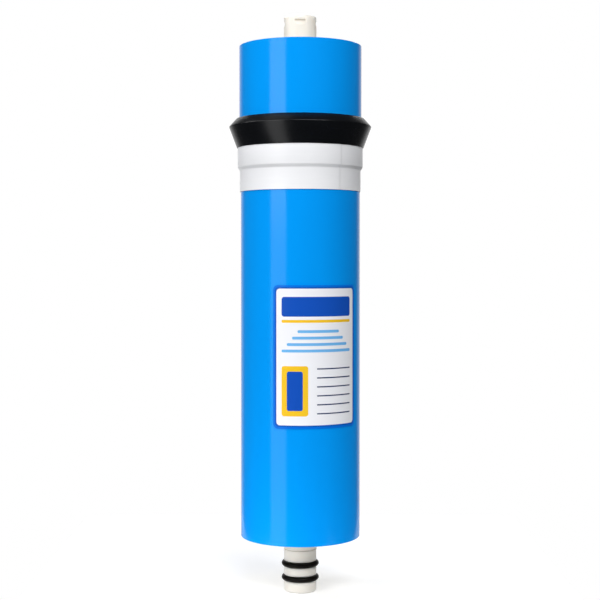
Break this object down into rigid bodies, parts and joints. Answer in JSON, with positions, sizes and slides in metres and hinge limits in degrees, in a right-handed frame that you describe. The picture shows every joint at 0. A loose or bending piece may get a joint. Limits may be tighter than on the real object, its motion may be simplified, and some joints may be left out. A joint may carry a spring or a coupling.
{
  "type": "reverse osmosis membrane element",
  "caption": "Spiral-wound reverse osmosis membrane element: a taped roll of sheets on a permeate tube, with a lipped brine seal near its feed end and an O-ring spigot.",
  "frame": {"origin": "centre of the spigot's end face, on the tube's axis, where the element stands", "axes": "+Z along the tube from the spigot to the feed end, -Y to the front as pictured"},
  "size_m": [0.0822, 0.0822, 0.333],
  "materials": {
    "tube_plastic": "cream moulded plastic, satin",
    "ring_rubber": "black, lightly greased",
    "carrier_cloth": "white knitted cloth, cut edge",
    "membrane_film": "pale film, cut edge",
    "spacer_net": "translucent white plastic net",
    "blue_tape": "glossy azure plastic tape",
    "seal_rubber": "black moulded rubber",
    "white_tape": "white plastic tape, satin",
    "label_stock": "white film-faced sticker"
  },
  "bodies": {
    "root": {"permeate_tube": "tube_plastic", "outer_o_ring": "ring_rubber", "inner_o_ring": "ring_rubber", "permeate_carrier": "carrier_cloth", "membrane_sheet": "membrane_film", "feed_spacer": "spacer_net", "body_tape": "blue_tape", "feed_end_tape": "blue_tape", "brine_seal": "seal_rubber", "seal_tape": "white_tape", "label": "label_stock"}
  },
  "joints": []
}
